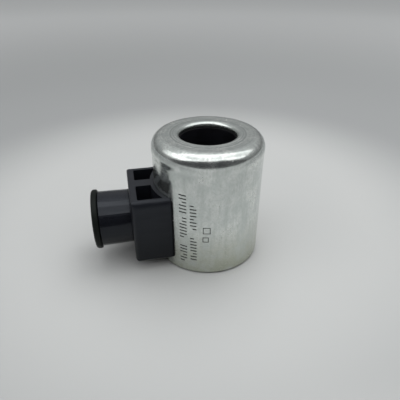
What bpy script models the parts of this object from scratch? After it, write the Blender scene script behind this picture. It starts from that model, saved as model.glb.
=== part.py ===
"""Encapsulated solenoid coil for a 22 mm cartridge valve, in metres, +Z up.

The coil stands on its base. Everything is placed from the bore axis, an empty that stands at BORE_X,
so that the origin is the middle of the whole object's footprint. The connector points to -X.
"""

import math

import bmesh
import bpy

MM = 0.001

# Driving dimensions
CAN_RADIUS = 22.5 * MM
CAN_HEIGHT = 53.4 * MM
CAN_WALL = 2.0 * MM
BORE_RADIUS = 11.25 * MM
GAP = 0.3 * MM  # clearance kept between neighbouring pieces
ROUND_STEPS = 64
SMALL_STEPS = 40
PIN_STEPS = 16

# Steel can: hole in the top, shoulder that swells a little beyond the side, rim rolled under the base plate
HOLE_RADIUS = 11.4 * MM
HOLE_EDGE_RADIUS = 1.5 * MM
SHOULDER_WIDTH = 4.45 * MM
SHOULDER_DROP = 5.4 * MM
SHOULDER_SWELL = 0.25 * MM
SWELL_LENGTH = 2.8 * MM  # from the shoulder's widest line down to the straight side
SWELL_STEPS = 4
INNER_SHOULDER_RADIUS = 2.2 * MM
RIM_ROUND = 1.0 * MM
WINDOW_HALF_WIDTH = 11.0 * MM
WINDOW_LOW = 9.5 * MM
WINDOW_HIGH = 30.5 * MM
WINDOW_CORNER = 2.0 * MM
CAN_INSIDE = CAN_RADIUS - CAN_WALL
WIDEST_RADIUS = CAN_RADIUS + SHOULDER_SWELL

# Flux plates at both ends
PLATE_THICKNESS = 3.6 * MM
PLATE_RADIUS = CAN_INSIDE - GAP
PLATE_EDGE_CHAMFER = 1.2 * MM
PLATE_BORE_CHAMFER = 0.5 * MM
TOP_RING_HIGH = CAN_HEIGHT - CAN_WALL - GAP
TOP_RING_THICKNESS = 3.3 * MM
TOP_RING_LOW = TOP_RING_HIGH - TOP_RING_THICKNESS

# Bobbin
TUBE_WALL = 0.95 * MM
TUBE_RADIUS = BORE_RADIUS + TUBE_WALL
FLANGE_RADIUS = 18.6 * MM
FLANGE_THICKNESS = 2.4 * MM
BOBBIN_LOW = PLATE_THICKNESS + GAP
LOWER_FLANGE_TOP = BOBBIN_LOW + FLANGE_THICKNESS
UPPER_FLANGE_TOP = TOP_RING_LOW - GAP
UPPER_FLANGE_LOW = UPPER_FLANGE_TOP - FLANGE_THICKNESS
LEAD_SLOT_WIDTH = 1.5 * MM
LEAD_SLOT_LOW = BOBBIN_LOW + 1.35 * MM

# Seal rings, one in a groove of each flange
SEAL_RADIUS = 15.0 * MM
SEAL_THICKNESS = 1.0 * MM
SEAL_GROOVE_DEPTH = 1.2 * MM
SEAL_GROOVE_WIDTH = 1.6 * MM
SEAL_MIDDLE = 0.5 * MM  # depth of the ring's middle below the flange's face

# Winding and its tape
WINDING_INSIDE = TUBE_RADIUS + GAP
WINDING_RADIUS = 18.0 * MM
PAD_THICKNESS = 0.3 * MM
PAD_WIDTH = 7.0 * MM
PAD_LOW = LOWER_FLANGE_TOP + GAP
WINDING_LOW = PAD_LOW + PAD_THICKNESS + GAP
WINDING_HIGH = UPPER_FLANGE_LOW - GAP
TAPE_THICKNESS = 0.3 * MM
TAPE_INSIDE = WINDING_RADIUS + GAP

# Moulded housing: sleeve inside the can, neck through the window, block and round shroud outside
SLEEVE_INSIDE = FLANGE_RADIUS + GAP
SLEEVE_RADIUS = CAN_INSIDE - GAP
SADDLE_INSIDE = CAN_RADIUS + GAP
SADDLE_RADIUS = 24.2 * MM
NECK_OVERLAP = 0.8 * MM  # how far the neck runs on into the block
BLOCK_FACE = 33.1 * MM  # distance of the flat connector face from the bore axis
BLOCK_HALF_WIDTH = 14.9 * MM
BLOCK_LOW = 5.2 * MM
BLOCK_HIGH = 33.5 * MM
BLOCK_ROUNDING = 2.1 * MM
BLOCK_SLIGHT_ROUNDING = 0.9 * MM
FACE_WALL = 2.8 * MM
SIDE_WALL = 2.3 * MM
FLOOR_THICKNESS = 3.0 * MM
WEB_CENTRE = 0.9 * MM
WEB_HALF_WIDTH = 2.6 * MM
BLOCK_END = 16.2 * MM  # the block's rounded upright edges die into the can here
SHROUD_ROOT_RADIUS = 11.15 * MM
SHROUD_MOUTH_RADIUS = 11.4 * MM
SHROUD_INSIDE = 9.7 * MM
SHROUD_MOUTH_CHAMFER = 0.4 * MM
SHROUD_END = 45.9 * MM
CONNECTOR_HEIGHT = 19.0 * MM

# Contacts, one above the other, on the shroud's upright middle plane
CONTACT_SPACING = 8.0 * MM
CONTACT_RADIUS = 1.25 * MM
CONTACT_TIP = 43.0 * MM
CARRIER_THICKNESS = 3.0 * MM
CARRIER_BACK = BLOCK_FACE + GAP
CARRIER_FRONT = CARRIER_BACK + CARRIER_THICKNESS
COLLAR_RADIUS = 1.9 * MM
COLLAR_THICKNESS = 0.8 * MM
TAIL_RADIUS = 0.6 * MM
TAIL_END = 22.6 * MM
FERRULE_WALL = 0.25 * MM
FERRULE_LENGTH = 3.0 * MM
FERRULE_INNER_END = 21.2 * MM
CHANNEL_CENTRE = 0.7 * MM
CHANNEL_HALF_WIDTH = 2.05 * MM
CHANNEL_DEPTH = 24.8 * MM
CHANNEL_MARGIN = 2.2 * MM
CHANNEL_FLOOR = 11.0 * MM

# Lead wires
LEAD_RADIUS = 0.3 * MM
LEAD_SPACING = 2.0 * MM
LEAD_RISE = 19.6 * MM  # distance of the rising stretch from the bore axis
LEAD_BEND = 0.9 * MM
SLEEVING_WALL = 0.16 * MM
SLEEVING_MARGIN = 1.2 * MM
# Each lead's side step, the distance of its inner end from the bore axis, and its contact
LEADS = {
    "start": (WEB_CENTRE - LEAD_SPACING / 2, WINDING_INSIDE + 2 * GAP, "lower"),
    "finish": (WEB_CENTRE + LEAD_SPACING / 2, WINDING_RADIUS - 0.8 * MM, "upper"),
}

# Push-in dust plug
PLUG_FACE = 48.4 * MM
PLUG_FLANGE_RADIUS = 12.35 * MM
PLUG_FACE_ROUNDING = 1.4 * MM
PLUG_BACK_ROUNDING = 0.6 * MM
SPIGOT_RADIUS = SHROUD_INSIDE - GAP
SPIGOT_WALL = 1.3 * MM
SPIGOT_END = 37.4 * MM
SPIGOT_RIB = 0.15 * MM  # how far a rib stands out
SPIGOT_RIB_HALF_WIDTH = 0.5 * MM
SPIGOT_RIB_PLACES = (2.2 * MM, 4.6 * MM)  # in from the mouth
SPIGOT_LEAD_IN = 0.5 * MM

# The footprint's middle lies between the plug's face and the far side of the can
BORE_X = (PLUG_FACE - WIDEST_RADIUS) / 2


def clear_scene():
    for found in list(bpy.data.objects):
        bpy.data.objects.remove(found)


def new_collection(name):
    made = bpy.data.collections.new(name)
    bpy.context.scene.collection.children.link(made)
    return made


def make_material(name, colour, roughness, metallic=0.0):
    made = bpy.data.materials.new(name)
    made.use_nodes = True
    shader = made.node_tree.nodes["Principled BSDF"]
    shader.inputs["Base Color"].default_value = (*colour, 1.0)
    shader.inputs["Roughness"].default_value = roughness
    shader.inputs["Metallic"].default_value = metallic
    return made


def arc(centre_r, centre_z, radius, start_deg, end_deg, steps):
    """Points of an arc in a turned profile, ends included."""
    points = []
    for i in range(steps + 1):
        angle = math.radians(start_deg + (end_deg - start_deg) * i / steps)
        points.append((centre_r + radius * math.cos(angle), centre_z + radius * math.sin(angle)))
    return points


def ring_profile(inner, outer, low, high):
    """A rectangle, running down its outer side."""
    return [(outer, high), (outer, low), (inner, low), (inner, high)]


def place(item, collection, material=None, parent=None):
    for old in list(item.users_collection):
        old.objects.unlink(item)
    collection.objects.link(item)
    item.parent = parent
    if material:
        item.data.materials.append(material)
    return item


def turned(name, profile, collection, material=None, closed=True, steps=ROUND_STEPS, parent=None):
    """A profile of (radius, height) points turned about Z. It runs down the piece's outer side."""
    mesh = bpy.data.meshes.new(name)
    points = [(r, 0.0, z) for r, z in profile]
    edges = [(i, i + 1) for i in range(len(points) - 1)]
    if closed:
        edges.append((len(points) - 1, 0))
    mesh.from_pydata(points, edges, [])
    item = place(bpy.data.objects.new(name, mesh), collection, material, parent)
    screw = item.modifiers.new("Turn", "SCREW")
    screw.steps = screw.render_steps = steps
    screw.use_merge_vertices = True
    screw.merge_threshold = 0.00001
    screw.use_smooth_shade = True
    return item


def along_connector(item, z=CONNECTOR_HEIGHT):
    """Lays a turned piece down, so that its local height is the distance out from the bore axis."""
    item.rotation_euler = (0.0, -math.pi / 2, 0.0)
    item.location = (0.0, 0.0, z)
    return item


def box(name, low, high, collection, material=None, bevel=0.0, bevel_steps=3, parent=None):
    bpy.ops.mesh.primitive_cube_add(size=1.0)
    item = bpy.context.active_object
    item.name = item.data.name = name
    centre = [(a + b) / 2 for a, b in zip(low, high)]
    size = [b - a for a, b in zip(low, high)]
    for vertex in item.data.vertices:
        vertex.co = [c + s * v for c, s, v in zip(centre, size, vertex.co)]
    place(item, collection, material, parent)
    if bevel:
        rounding = item.modifiers.new("Round edges", "BEVEL")
        rounding.width = bevel
        rounding.segments = bevel_steps
        rounding.limit_method = "ANGLE"
    return item


def combine(item, other, operation):
    """Adds a Boolean modifier; operation is UNION, DIFFERENCE or INTERSECT."""
    modifier = item.modifiers.new(other.name, "BOOLEAN")
    modifier.operation = operation
    modifier.object = other
    modifier.solver = "EXACT"
    return item


def tube_curve(name, points, radius, collection, material, parent):
    """A wire along a smooth line of points."""
    curve = bpy.data.curves.new(name, "CURVE")
    curve.dimensions = "3D"
    curve.bevel_depth = radius
    curve.bevel_resolution = 2
    curve.use_fill_caps = True
    spline = curve.splines.new("POLY")
    spline.points.add(len(points) - 1)
    for slot, point in zip(spline.points, points):
        slot.co = (*point, 1.0)
    return place(bpy.data.objects.new(name, curve), collection, material, parent)


def shade_smooth_rounds(item, angle_deg=35.0):
    item.data.shade_smooth()
    item.data.set_sharp_from_angle(angle=math.radians(angle_deg))


def shoulder_points():
    """From the flat top over the widest line to the straight side."""
    centre_r = WIDEST_RADIUS - SHOULDER_WIDTH
    widest_z = CAN_HEIGHT - SHOULDER_DROP
    quarter = arc(0.0, 0.0, 1.0, 90, 0, 9)
    points = [(centre_r + SHOULDER_WIDTH * r, widest_z + SHOULDER_DROP * z) for r, z in quarter]
    for i in range(1, SWELL_STEPS + 1):
        share = i / SWELL_STEPS
        swell = SHOULDER_SWELL * (1 + math.cos(math.pi * share)) / 2
        points.append((CAN_RADIUS + swell, widest_z - SWELL_LENGTH * share))
    return points


def can_profile():
    """The drawn shell: hole edge, top, shoulder, side, rolled rim, and back up inside."""
    inner_r = CAN_INSIDE - INNER_SHOULDER_RADIUS
    inner_z = CAN_HEIGHT - CAN_WALL - INNER_SHOULDER_RADIUS
    rim_inside = PLATE_RADIUS - PLATE_EDGE_CHAMFER + GAP * math.sqrt(2)
    edge_r = HOLE_RADIUS + HOLE_EDGE_RADIUS
    edge_z = CAN_HEIGHT - HOLE_EDGE_RADIUS
    points = arc(edge_r, edge_z, HOLE_EDGE_RADIUS, 180, 90, 4)
    points += shoulder_points()
    points += arc(CAN_RADIUS - RIM_ROUND, RIM_ROUND, RIM_ROUND, 0, -90, 3)
    points += [(rim_inside, 0.0), (CAN_INSIDE, CAN_INSIDE - rim_inside)]
    points += arc(inner_r, inner_z, INNER_SHOULDER_RADIUS, 0, 90, 4)
    points += [(HOLE_RADIUS, CAN_HEIGHT - CAN_WALL)]
    return points


def steel_can(parts, cutters, steel, axis):
    can = turned("steel_can", can_profile(), parts, steel, parent=axis)
    window = box(
        "can_window",
        (-CAN_RADIUS * 1.2, -WINDOW_HALF_WIDTH, WINDOW_LOW),
        (-CAN_RADIUS * 0.6, WINDOW_HALF_WIDTH, WINDOW_HIGH),
        cutters,
        bevel=WINDOW_CORNER,
        parent=axis,
    )
    combine(can, window, "DIFFERENCE")
    return can


def base_flux_plate(parts, steel, axis):
    bore = HOLE_RADIUS
    chamfer = PLATE_BORE_CHAMFER
    profile = [
        (PLATE_RADIUS, PLATE_THICKNESS),
        (PLATE_RADIUS, PLATE_EDGE_CHAMFER),
        (PLATE_RADIUS - PLATE_EDGE_CHAMFER, 0.0),
        (bore + chamfer, 0.0),
        (bore, chamfer),
        (bore, PLATE_THICKNESS),
    ]
    return turned("base_flux_plate", profile, parts, steel, parent=axis)


def upper_flux_ring(parts, steel, axis):
    """Its outer top edge is bevelled to clear the inside of the can's shoulder."""
    bevel = INNER_SHOULDER_RADIUS
    profile = [
        (PLATE_RADIUS - bevel, TOP_RING_HIGH),
        (PLATE_RADIUS, TOP_RING_HIGH - bevel),
        (PLATE_RADIUS, TOP_RING_LOW),
        (TUBE_RADIUS + GAP, TOP_RING_LOW),
        (TUBE_RADIUS + GAP, TOP_RING_HIGH),
    ]
    return turned("upper_flux_ring", profile, parts, steel, parent=axis)


def bobbin(parts, cutters, plastic, axis):
    groove_in = SEAL_RADIUS - SEAL_GROOVE_WIDTH / 2
    groove_out = SEAL_RADIUS + SEAL_GROOVE_WIDTH / 2
    upper_groove = UPPER_FLANGE_TOP - SEAL_GROOVE_DEPTH
    lower_groove = BOBBIN_LOW + SEAL_GROOVE_DEPTH
    profile = [
        (TUBE_RADIUS, TOP_RING_HIGH),
        (TUBE_RADIUS, UPPER_FLANGE_TOP),
        (groove_in, UPPER_FLANGE_TOP),
        (groove_in, upper_groove),
        (groove_out, upper_groove),
        (groove_out, UPPER_FLANGE_TOP),
        (FLANGE_RADIUS, UPPER_FLANGE_TOP),
        (FLANGE_RADIUS, UPPER_FLANGE_LOW),
        (TUBE_RADIUS, UPPER_FLANGE_LOW),
        (TUBE_RADIUS, LOWER_FLANGE_TOP),
        (FLANGE_RADIUS, LOWER_FLANGE_TOP),
        (FLANGE_RADIUS, BOBBIN_LOW),
        (groove_out, BOBBIN_LOW),
        (groove_out, lower_groove),
        (groove_in, lower_groove),
        (groove_in, BOBBIN_LOW),
        (BORE_RADIUS, BOBBIN_LOW),
        (BORE_RADIUS, TOP_RING_HIGH),
    ]
    spool = turned("bobbin", profile, parts, plastic, parent=axis)
    for label, (y, inner_end, _) in LEADS.items():
        slot = box(
            f"{label}_lead_slot",
            (-FLANGE_RADIUS * 1.1, y - LEAD_SLOT_WIDTH / 2, LEAD_SLOT_LOW),
            (-inner_end + 2 * GAP, y + LEAD_SLOT_WIDTH / 2, LOWER_FLANGE_TOP + GAP),
            cutters,
            parent=axis,
        )
        combine(spool, slot, "DIFFERENCE")
    return spool


def seal_ring(name, z, parts, rubber, axis):
    bpy.ops.mesh.primitive_torus_add(
        major_radius=SEAL_RADIUS,
        minor_radius=SEAL_THICKNESS / 2,
        major_segments=SMALL_STEPS,
        minor_segments=6,
    )
    item = bpy.context.active_object
    item.name = item.data.name = name
    item.location = (0.0, 0.0, z)
    shade_smooth_rounds(item, 80)
    return place(item, parts, rubber, axis)


def winding_parts(parts, copper, film, axis):
    winding = turned(
        "copper_winding",
        ring_profile(WINDING_INSIDE, WINDING_RADIUS, WINDING_LOW, WINDING_HIGH),
        parts,
        copper,
        parent=axis,
    )
    tape = turned(
        "winding_tape",
        ring_profile(TAPE_INSIDE, TAPE_INSIDE + TAPE_THICKNESS, WINDING_LOW, WINDING_HIGH),
        parts,
        film,
        parent=axis,
    )
    pad = box(
        "start_lead_pad",
        (-WINDING_RADIUS, WEB_CENTRE - PAD_WIDTH / 2, PAD_LOW),
        (-WINDING_INSIDE - GAP, WEB_CENTRE + PAD_WIDTH / 2, PAD_LOW + PAD_THICKNESS),
        parts,
        film,
        parent=axis,
    )
    return winding, tape, pad


def pocket_cutter(name, y_low, y_high, cutters, axis):
    """A pocket open at the block's top, which stops at the curved saddle wall."""
    pocket = box(
        name,
        (-BLOCK_FACE + FACE_WALL, y_low, BLOCK_LOW + FLOOR_THICKNESS),
        (-CAN_RADIUS * 0.5, y_high, BLOCK_HIGH * 1.2),
        cutters,
        parent=axis,
    )
    saddle = cylinder_cutter(f"{name}_saddle", SADDLE_RADIUS, 0.0, CAN_HEIGHT, cutters, axis)
    return combine(pocket, saddle, "DIFFERENCE")


def cylinder_cutter(name, radius, low, high, cutters, axis, steps=ROUND_STEPS):
    profile = [(0.0, high), (radius, high), (radius, low), (0.0, low)]
    return turned(name, profile, cutters, closed=False, steps=steps, parent=axis)


def round_block_edges(block):
    """The front top edge and three of the upright edges are rounded most."""
    weights = block.data.attributes.new("bevel_weight_edge", "FLOAT", "EDGE")
    for edge, weight in zip(block.data.edges, weights.data):
        first, second = (block.data.vertices[i].co for i in edge.vertices)
        middle = (first + second) / 2
        upright = first.z != second.z
        at_can = middle.x > -(BLOCK_FACE + BLOCK_END) / 2
        front_top = first.x != second.x and middle.y < 0 and middle.z > (BLOCK_LOW + BLOCK_HIGH) / 2
        full = (upright and (at_can or middle.y < 0)) or front_top
        weight.value = 1.0 if full else BLOCK_SLIGHT_ROUNDING / BLOCK_ROUNDING
    rounding = block.modifiers.new("Round edges", "BEVEL")
    rounding.width = BLOCK_ROUNDING
    rounding.segments = 4
    rounding.limit_method = "WEIGHT"


def connector_housing(parts, cutters, plastic, axis):
    """One moulding: it starts as the block, and the sleeve, neck and shroud are joined to it."""
    housing = box(
        "connector_housing",
        (-BLOCK_FACE, -BLOCK_HALF_WIDTH, BLOCK_LOW),
        (-BLOCK_END, BLOCK_HALF_WIDTH, BLOCK_HIGH),
        parts,
        plastic,
        parent=axis,
    )
    round_block_edges(housing)
    can_space = cylinder_cutter("can_space", SADDLE_INSIDE, -GAP, CAN_HEIGHT, cutters, axis)
    combine(housing, can_space, "DIFFERENCE")
    sleeve = cylinder_cutter(
        "sleeve_core", SLEEVE_RADIUS, BOBBIN_LOW, UPPER_FLANGE_TOP, cutters, axis
    )
    combine(housing, sleeve, "UNION")
    neck = box(
        "window_neck",
        (-SADDLE_INSIDE - NECK_OVERLAP, -WINDOW_HALF_WIDTH + GAP, WINDOW_LOW + GAP),
        (-CAN_RADIUS * 0.5, WINDOW_HALF_WIDTH - GAP, WINDOW_HIGH - GAP),
        cutters,
        bevel=WINDOW_CORNER - GAP,
        parent=axis,
    )
    combine(housing, neck, "UNION")
    coil_space = cylinder_cutter("coil_space", SLEEVE_INSIDE, 0.0, CAN_HEIGHT, cutters, axis)
    combine(housing, coil_space, "DIFFERENCE")
    pocket_end = BLOCK_HALF_WIDTH - SIDE_WALL
    for name, y_low, y_high in (
        ("front_pocket", -pocket_end, WEB_CENTRE - WEB_HALF_WIDTH),
        ("back_pocket", WEB_CENTRE + WEB_HALF_WIDTH, pocket_end),
    ):
        combine(housing, pocket_cutter(name, y_low, y_high, cutters, axis), "DIFFERENCE")
    shroud = turned(
        "connector_shroud",
        [
            (SHROUD_MOUTH_RADIUS - SHROUD_MOUTH_CHAMFER, SHROUD_END),
            (SHROUD_MOUTH_RADIUS, SHROUD_END - SHROUD_MOUTH_CHAMFER),
            (SHROUD_ROOT_RADIUS, BLOCK_FACE - FACE_WALL / 3),
            (SHROUD_INSIDE, BLOCK_FACE - FACE_WALL / 3),
            (SHROUD_INSIDE, SHROUD_END),
        ],
        cutters,
        parent=axis,
    )
    combine(housing, along_connector(shroud), "UNION")
    channel = box(
        "lead_channel",
        (-CHANNEL_DEPTH, CHANNEL_CENTRE - CHANNEL_HALF_WIDTH, 0.0),
        (
            -CAN_RADIUS * 0.5,
            CHANNEL_CENTRE + CHANNEL_HALF_WIDTH,
            CONNECTOR_HEIGHT + CONTACT_SPACING / 2 + CHANNEL_MARGIN,
        ),
        cutters,
        parent=axis,
    )
    # Outside the sleeve the channel has a floor; inside it the leads come up from the bobbin's flange.
    channel_floor = box(
        "channel_floor",
        (-CHANNEL_DEPTH * 1.1, -CHANNEL_HALF_WIDTH * 3, -GAP),
        (-SLEEVE_RADIUS - GAP / 2, CHANNEL_HALF_WIDTH * 3, CHANNEL_FLOOR),
        cutters,
        parent=axis,
    )
    combine(channel, channel_floor, "DIFFERENCE")
    combine(housing, channel, "DIFFERENCE")
    for label, z in contact_heights():
        hole = cylinder_cutter(
            f"tail_hole_{label}",
            TAIL_RADIUS + GAP,
            CHANNEL_DEPTH - GAP,
            BLOCK_FACE + GAP,
            cutters,
            axis,
            PIN_STEPS,
        )
        combine(housing, along_connector(hole, z=z), "DIFFERENCE")
    return housing


def contact_heights():
    half = CONTACT_SPACING / 2
    return (("upper", CONNECTOR_HEIGHT + half), ("lower", CONNECTOR_HEIGHT - half))


def contact_carrier(parts, cutters, plastic, axis):
    """The disc that holds both contacts at the bottom of the shroud."""
    disc = turned(
        "contact_carrier",
        [
            (0.0, CARRIER_FRONT),
            (SPIGOT_RADIUS - PLATE_BORE_CHAMFER, CARRIER_FRONT),
            (SPIGOT_RADIUS, CARRIER_FRONT - PLATE_BORE_CHAMFER),
            (SPIGOT_RADIUS, CARRIER_BACK),
            (0.0, CARRIER_BACK),
        ],
        parts,
        plastic,
        closed=False,
        steps=SMALL_STEPS,
        parent=axis,
    )
    along_connector(disc)
    for label, z in contact_heights():
        hole = cylinder_cutter(
            f"contact_hole_{label}",
            CONTACT_RADIUS + GAP,
            CARRIER_BACK - GAP,
            CARRIER_FRONT + GAP,
            cutters,
            axis,
            PIN_STEPS,
        )
        combine(disc, along_connector(hole, z=z), "DIFFERENCE")
    return disc


def contact_pin(label, z, parts, tin, axis):
    """Round pin with a collar on the carrier and a thin tail through the web."""
    collar_low = CARRIER_FRONT + GAP
    collar_high = collar_low + COLLAR_THICKNESS
    profile = arc(0.0, CONTACT_TIP - CONTACT_RADIUS, CONTACT_RADIUS, 90, 0, 4)
    profile[0] = (0.0, CONTACT_TIP)
    profile += [
        (CONTACT_RADIUS, collar_high),
        (COLLAR_RADIUS, collar_high),
        (COLLAR_RADIUS, collar_low),
        (CONTACT_RADIUS, collar_low),
        (CONTACT_RADIUS, CARRIER_BACK + GAP),
        (TAIL_RADIUS, CARRIER_BACK),
        (TAIL_RADIUS, TAIL_END),
        (0.0, TAIL_END),
    ]
    pin = turned(
        f"contact_pin_{label}", profile, parts, tin, closed=False, steps=PIN_STEPS, parent=axis
    )
    return along_connector(pin, z=z)


def crimp_ferrule(label, z, parts, tin, axis):
    inner = TAIL_RADIUS + GAP
    profile = ring_profile(
        inner, inner + FERRULE_WALL, FERRULE_INNER_END, FERRULE_INNER_END + FERRULE_LENGTH
    )
    ferrule = turned(f"crimp_ferrule_{label}", profile, parts, tin, steps=PIN_STEPS, parent=axis)
    return along_connector(ferrule, z=z)


def lead_points(y, inner_end, top_z):
    """Out along the flange slot, up the channel, and into the ferrule on the middle plane."""
    slot_z = LOWER_FLANGE_TOP - LEAD_RADIUS - GAP / 2
    bend = LEAD_BEND
    quarter = [math.radians(90 * i / 4) for i in range(5)]
    points = [(-inner_end, y, slot_z)]
    for angle in quarter:
        x = -LEAD_RISE + bend * (1 - math.sin(angle))
        points.append((x, y, slot_z + bend * (1 - math.cos(angle))))
    for i, angle in enumerate(quarter):
        x = -LEAD_RISE - bend * (1 - math.cos(angle))
        points.append((x, y * (1 - i / 4), top_z - bend * (1 - math.sin(angle))))
    points.append((-FERRULE_INNER_END - 4 * LEAD_RADIUS, 0.0, top_z))
    return points


def lead_wire(label, y, inner_end, top_z, parts, copper, film, axis):
    points = lead_points(y, inner_end, top_z)
    wire = tube_curve(f"{label}_lead_wire", points, LEAD_RADIUS, parts, copper, axis)
    inner = LEAD_RADIUS + GAP / 2
    profile = ring_profile(
        inner,
        inner + SLEEVING_WALL,
        LOWER_FLANGE_TOP + SLEEVING_MARGIN,
        top_z - LEAD_BEND - SLEEVING_MARGIN,
    )
    sleeving = turned(f"{label}_lead_sleeving", profile, parts, film, steps=PIN_STEPS, parent=axis)
    sleeving.location = (-LEAD_RISE, y, 0.0)
    return wire, sleeving


def dust_plug(parts, rubber, axis):
    """Push-in plug: round-edged flange outside the mouth, hollow ribbed spigot inside."""
    flange_back = SHROUD_END + GAP
    face_r = PLUG_FLANGE_RADIUS - PLUG_FACE_ROUNDING
    face_z = PLUG_FACE - PLUG_FACE_ROUNDING
    back_r = PLUG_FLANGE_RADIUS - PLUG_BACK_ROUNDING
    back_z = flange_back + PLUG_BACK_ROUNDING
    spigot_inside = SPIGOT_RADIUS - SPIGOT_WALL
    profile = [(0.0, PLUG_FACE)]
    profile += arc(face_r, face_z, PLUG_FACE_ROUNDING, 90, 0, 5)
    profile += arc(back_r, back_z, PLUG_BACK_ROUNDING, 0, -90, 3)
    profile += [(SPIGOT_RADIUS, flange_back)]
    for place_in in SPIGOT_RIB_PLACES:
        rib_z = SHROUD_END - place_in
        profile += [
            (SPIGOT_RADIUS, rib_z + SPIGOT_RIB_HALF_WIDTH),
            (SPIGOT_RADIUS + SPIGOT_RIB, rib_z),
            (SPIGOT_RADIUS, rib_z - SPIGOT_RIB_HALF_WIDTH),
        ]
    profile += [
        (SPIGOT_RADIUS, SPIGOT_END + SPIGOT_LEAD_IN),
        (SPIGOT_RADIUS - SPIGOT_LEAD_IN, SPIGOT_END),
        (spigot_inside, SPIGOT_END),
        (spigot_inside, SHROUD_END),
        (0.0, SHROUD_END),
    ]
    return along_connector(
        turned("dust_plug", profile, parts, rubber, closed=False, steps=SMALL_STEPS, parent=axis)
    )


def main():
    clear_scene()
    parts = new_collection("solenoid_coil")
    cutters = new_collection("cutters")
    axis = bpy.data.objects.new("bore_axis", None)
    axis.location = (BORE_X, 0.0, 0.0)
    parts.objects.link(axis)

    zinc = make_material("zinc_plated_steel", (0.62, 0.64, 0.62), 0.32, 1.0)
    soft_iron = make_material("flux_steel", (0.45, 0.45, 0.45), 0.4, 1.0)
    black_nylon = make_material("black_nylon", (0.018, 0.019, 0.022), 0.35)
    bobbin_nylon = make_material("bobbin_nylon", (0.012, 0.012, 0.014), 0.45)
    carrier_nylon = make_material("carrier_nylon", (0.03, 0.03, 0.035), 0.4)
    enamel_copper = make_material("enamelled_copper", (0.55, 0.2, 0.08), 0.3, 1.0)
    tinned_brass = make_material("tinned_brass", (0.75, 0.74, 0.7), 0.25, 1.0)
    film = make_material("insulating_film", (0.75, 0.62, 0.2), 0.4)
    nitrile = make_material("nitrile_rubber", (0.02, 0.02, 0.02), 0.6)
    plug_rubber = make_material("plug_rubber", (0.013, 0.016, 0.014), 0.5)

    steel_can(parts, cutters, zinc, axis)
    base_flux_plate(parts, zinc, axis)
    upper_flux_ring(parts, soft_iron, axis)
    bobbin(parts, cutters, bobbin_nylon, axis)
    seal_ring("upper_seal_ring", UPPER_FLANGE_TOP - SEAL_MIDDLE, parts, nitrile, axis)
    seal_ring("lower_seal_ring", BOBBIN_LOW + SEAL_MIDDLE, parts, nitrile, axis)
    winding_parts(parts, enamel_copper, film, axis)
    connector_housing(parts, cutters, black_nylon, axis)
    contact_carrier(parts, cutters, carrier_nylon, axis)
    for label, z in contact_heights():
        contact_pin(label, z, parts, tinned_brass, axis)
        crimp_ferrule(label, z, parts, tinned_brass, axis)
    heights = dict(contact_heights())
    for label, (y, inner_end, contact) in LEADS.items():
        lead_wire(label, y, inner_end, heights[contact], parts, enamel_copper, film, axis)
    dust_plug(parts, plug_rubber, axis)

    for helper in cutters.objects:
        helper.hide_render = True
        helper.display_type = "WIRE"


main()
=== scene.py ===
"""Looks of the solenoid coil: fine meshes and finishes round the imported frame.

All sizes are in metres, in the frame's own coordinates. Turned pieces are made about the bore
axis, or about the connector's axis, and each piece's origin lies on its axis, so that the
finishes can follow it. The coil stands on a pale floor in soft light.
"""

import math
import random

import bmesh
import bpy
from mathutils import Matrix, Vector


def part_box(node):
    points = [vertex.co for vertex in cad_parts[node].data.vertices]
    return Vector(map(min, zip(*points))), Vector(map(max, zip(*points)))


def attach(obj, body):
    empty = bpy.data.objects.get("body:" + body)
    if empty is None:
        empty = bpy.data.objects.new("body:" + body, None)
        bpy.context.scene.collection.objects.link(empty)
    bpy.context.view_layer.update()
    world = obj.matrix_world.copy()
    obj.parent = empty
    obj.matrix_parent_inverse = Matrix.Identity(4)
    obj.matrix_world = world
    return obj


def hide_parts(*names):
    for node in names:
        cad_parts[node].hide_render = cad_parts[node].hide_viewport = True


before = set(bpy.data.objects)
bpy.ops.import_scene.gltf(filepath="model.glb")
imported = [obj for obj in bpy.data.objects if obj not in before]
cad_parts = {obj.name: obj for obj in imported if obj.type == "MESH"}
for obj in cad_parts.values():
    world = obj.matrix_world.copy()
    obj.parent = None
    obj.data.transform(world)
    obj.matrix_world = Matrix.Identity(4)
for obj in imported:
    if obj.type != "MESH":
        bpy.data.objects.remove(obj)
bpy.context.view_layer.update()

MM = 0.001
COIL = "coil"
PLUG = "plug"


# Sizes, from the frame where it has them

can_low, can_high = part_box("steel_can")
BORE_X = (can_low.x + can_high.x) / 2
SHOULDER_SWELL = 0.25 * MM
CAN_RADIUS = (can_high.x - can_low.x) / 2 - SHOULDER_SWELL
CAN_HEIGHT = can_high.z
CAN_WALL = 2.0 * MM
CAN_INSIDE = CAN_RADIUS - CAN_WALL
SHOULDER_WIDTH = 4.45 * MM
SHOULDER_DROP = 5.4 * MM
SWELL_LENGTH = 2.8 * MM
INNER_SHOULDER_RADIUS = 2.2 * MM
HOLE_RADIUS = 11.4 * MM
HOLE_EDGE_RADIUS = 1.5 * MM
RIM_ROUND = 1.0 * MM
GAP = 0.3 * MM

# Turned grooves in the can's flat top: radius, half width and depth
TOP_GROOVES = (
    (13.6 * MM, 0.2 * MM, 0.05 * MM),
    (14.8 * MM, 0.28 * MM, 0.07 * MM),
    (16.4 * MM, 0.4 * MM, 0.05 * MM),
)
GROOVE_SLOPE_SHARE = 0.4  # how far down its slope a groove is at its half width

# The window in the can's side, which the moulding's neck passes through
WINDOW_HALF_WIDTH = 11.0 * MM
WINDOW_LOW = 9.5 * MM
WINDOW_HIGH = 30.5 * MM
WINDOW_ROUNDING = 2.0 * MM
NECK_ROUNDING = 1.7 * MM
NECK_REACH = 1.1 * MM

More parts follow.
